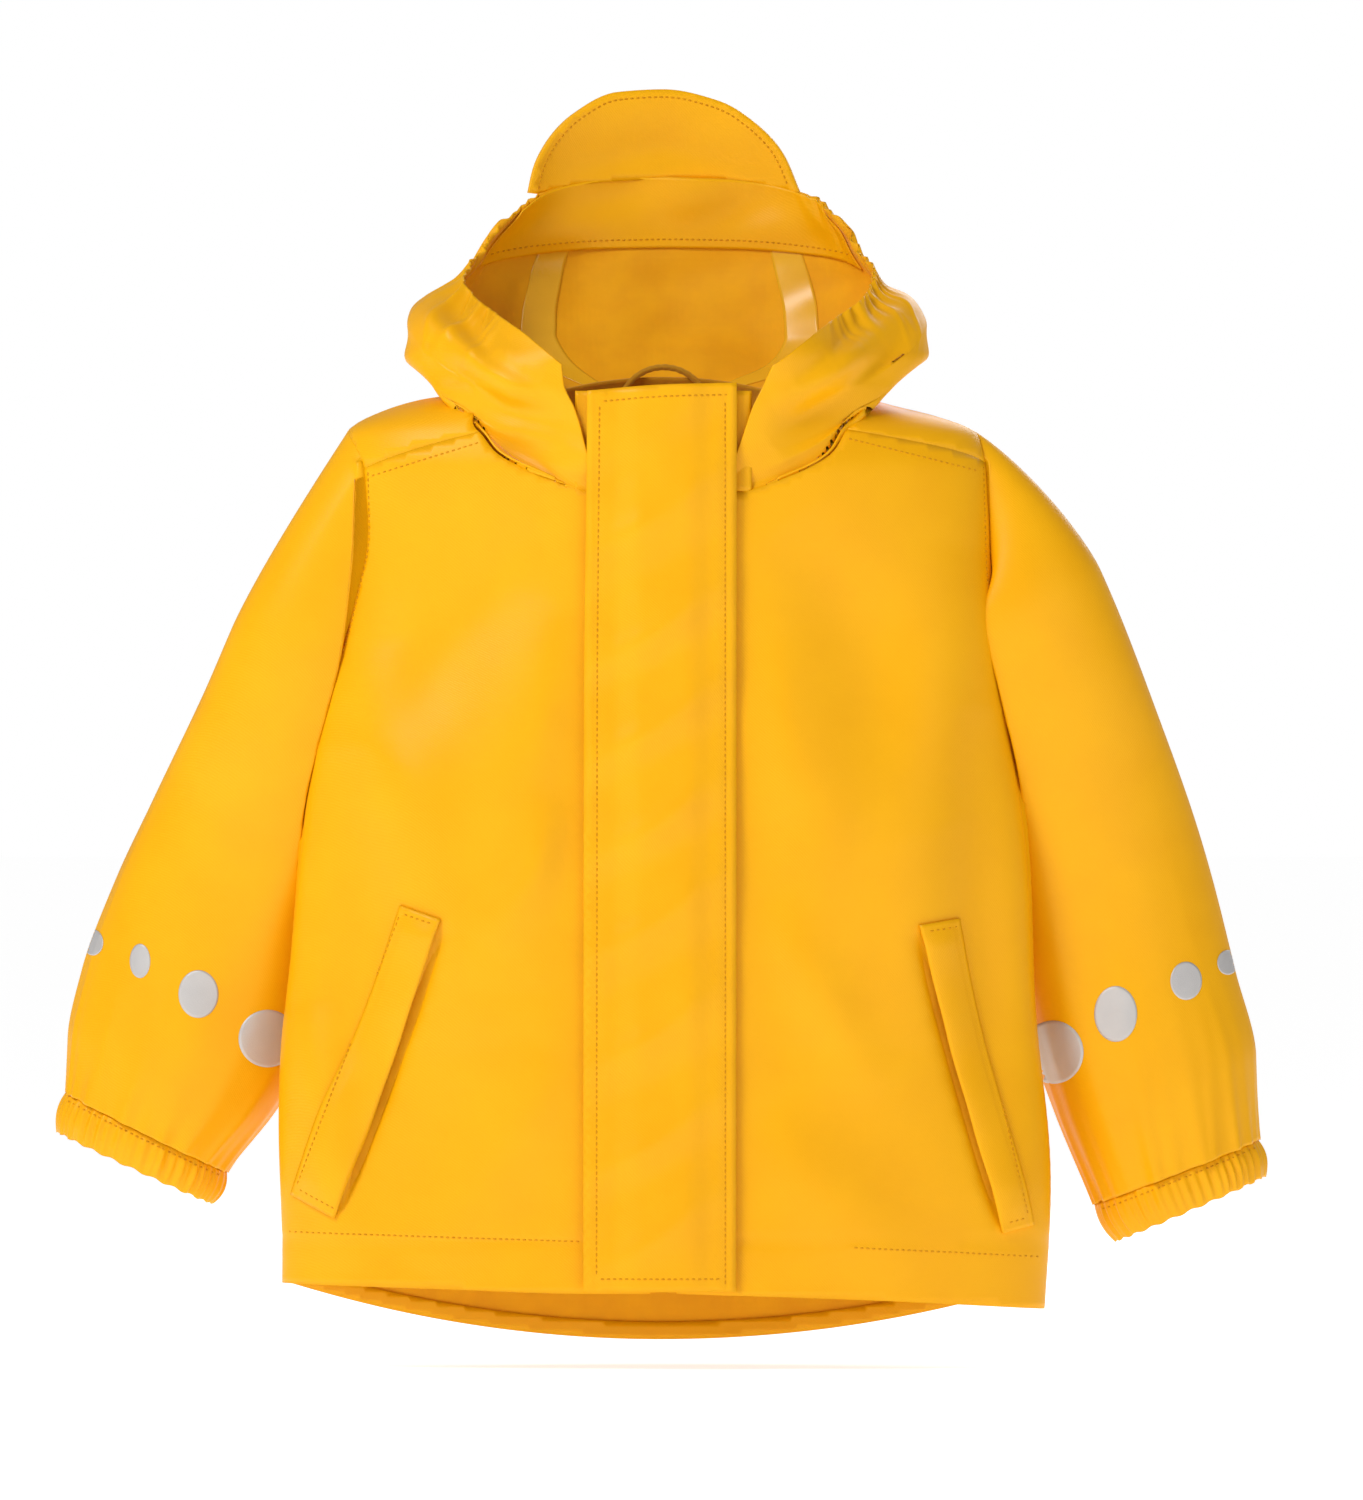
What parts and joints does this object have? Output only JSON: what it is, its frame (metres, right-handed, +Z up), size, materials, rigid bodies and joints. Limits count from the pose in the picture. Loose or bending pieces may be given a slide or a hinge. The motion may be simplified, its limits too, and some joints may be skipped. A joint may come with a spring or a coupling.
{
  "type": "foul weather jacket",
  "caption": "Hooded child's rain jacket with a visor, a storm flap over a zip, welt pockets and elastic cuffs.",
  "frame": {"origin": "middle of the hang loop's foot, at the back neckline", "axes": "+Z up along the hanging jacket, -Y out of the front, +X to the wearer's left"},
  "size_m": [0.596, 0.1608, 0.6325],
  "materials": {
    "coated_fabric": "satin",
    "lining_fabric": "matte",
    "elastic": "matte",
    "reflective_film": "satin retroreflective film",
    "zip_plastic": "satin",
    "zip_metal": "enamelled",
    "stud_metal": "nickel plated"
  },
  "bodies": {
    "jacket": {"front_panel_left": "coated_fabric", "front_panel_right": "coated_fabric", "back_panel": "coated_fabric", "chin_guard_left": "coated_fabric", "chin_guard_right": "coated_fabric", "hem_turn_up_left": "lining_fabric", "hem_turn_up_right": "lining_fabric", "hem_turn_up_back": "lining_fabric", "pocket_bag_left": "lining_fabric", "pocket_bag_right": "lining_fabric", "neck_tape": "lining_fabric", "zip_guard": "lining_fabric", "hang_loop": "lining_fabric", "zip_tape_left": "lining_fabric", "zip_tape_right": "lining_fabric", "zip_teeth_left": "zip_plastic", "zip_teeth_right": "zip_plastic", "zip_stops": "zip_plastic", "zip_box": "zip_plastic", "press_studs": "stud_metal"},
    "storm_flap": {"storm_flap": "coated_fabric", "flap_facing": "lining_fabric", "stud_sockets": "stud_metal"},
    "zip_slider": {"zip_slider": "zip_metal"},
    "zip_pull": {"zip_pull": "zip_metal"},
    "hood": {"hood_centre_panel": "coated_fabric", "hood_side_left": "coated_fabric", "hood_side_right": "coated_fabric", "hood_facing": "lining_fabric", "rim_elastic_left": "elastic", "rim_elastic_right": "elastic", "hood_seam_tapes": "lining_fabric"},
    "visor": {"visor": "coated_fabric"},
    "sleeve_left": {"sleeve_left": "coated_fabric", "cuff_left": "coated_fabric", "cuff_elastic_left": "elastic", "reflective_dots_left": "reflective_film"},
    "sleeve_right": {"sleeve_right": "coated_fabric", "cuff_right": "coated_fabric", "cuff_elastic_right": "elastic", "reflective_dots_right": "reflective_film"},
    "pocket_welt_left": {"pocket_welt_left": "coated_fabric"},
    "pocket_welt_right": {"pocket_welt_right": "coated_fabric"}
  },
  "joints": [
    {"name": "storm_flap_hinge", "type": "hinge", "parent": "jacket", "child": "storm_flap", "pos_m": [0.0372, -0.1017, 0], "axis": [0, 0, 1], "range_deg": [0, 150]},
    {"name": "zip_slide", "type": "slide", "parent": "jacket", "child": "zip_slider", "axis": [0, 0, -1], "range_m": [0, 0.405]},
    {"name": "zip_pull_hinge", "type": "hinge", "parent": "zip_slider", "child": "zip_pull", "pos_m": [0, -0.1012, -0.018], "axis": [-1, 0, 0], "range_deg": [0, 8]},
    {"name": "hood_hinge", "type": "hinge", "parent": "jacket", "child": "hood", "pos_m": [0, 0.014, 0.0005], "axis": [-1, 0, 0], "range_deg": [0, 90]},
    {"name": "visor_hinge", "type": "hinge", "parent": "hood", "child": "visor", "pos_m": [0, 0.034, 0.107], "axis": [1, 0, 0], "range_deg": [0, 100]},
    {"name": "shoulder_right", "type": "hinge", "parent": "jacket", "child": "sleeve_right", "pos_m": [-0.15, -0.045, -0.018], "axis": [0, 1, 0], "range_deg": [0, 60]},
    {"name": "shoulder_left", "type": "hinge", "parent": "jacket", "child": "sleeve_left", "pos_m": [0.15, -0.045, -0.018], "axis": [0, -1, 0], "range_deg": [0, 60]},
    {"name": "pocket_welt_right_hinge", "type": "hinge", "parent": "jacket", "child": "pocket_welt_right", "pos_m": [-0.1589, -0.0732, -0.3276], "axis": [-0.3225, 0.1487, -0.9348], "range_deg": [0, 12]},
    {"name": "pocket_welt_left_hinge", "type": "hinge", "parent": "jacket", "child": "pocket_welt_left", "pos_m": [0.1589, -0.0732, -0.3276], "axis": [-0.3225, -0.1487, 0.9348], "range_deg": [0, 12]}
  ]
}
